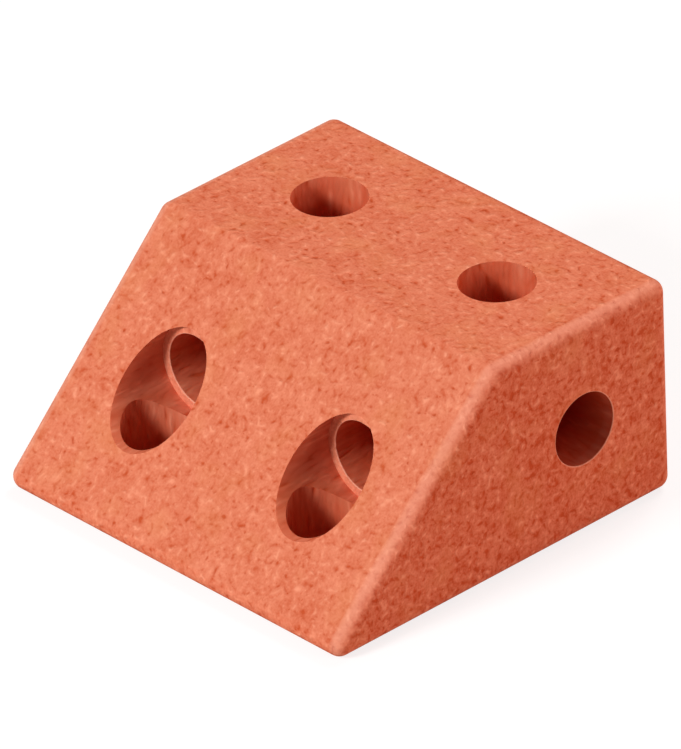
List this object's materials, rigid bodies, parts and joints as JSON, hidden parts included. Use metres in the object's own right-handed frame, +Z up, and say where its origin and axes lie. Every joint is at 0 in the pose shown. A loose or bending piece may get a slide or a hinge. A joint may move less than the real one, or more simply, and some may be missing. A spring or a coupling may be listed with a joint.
{
  "type": "concrete corner block",
  "caption": "Sloped corner block of through-coloured concrete, bored along three axes, with bolt seats sunk in its slope.",
  "frame": {"origin": "on the floor under the middle of the block: in the base face, midway between its four bores", "axes": "+X along the block towards the end at the right of the picture, +Y towards the upright back face, +Z up"},
  "size_m": [0.2, 0.1915, 0.1],
  "materials": {
    "concrete": "fine mottled terracotta concrete, matt"
  },
  "bodies": {
    "root": {"corner_block": "concrete"}
  },
  "joints": []
}
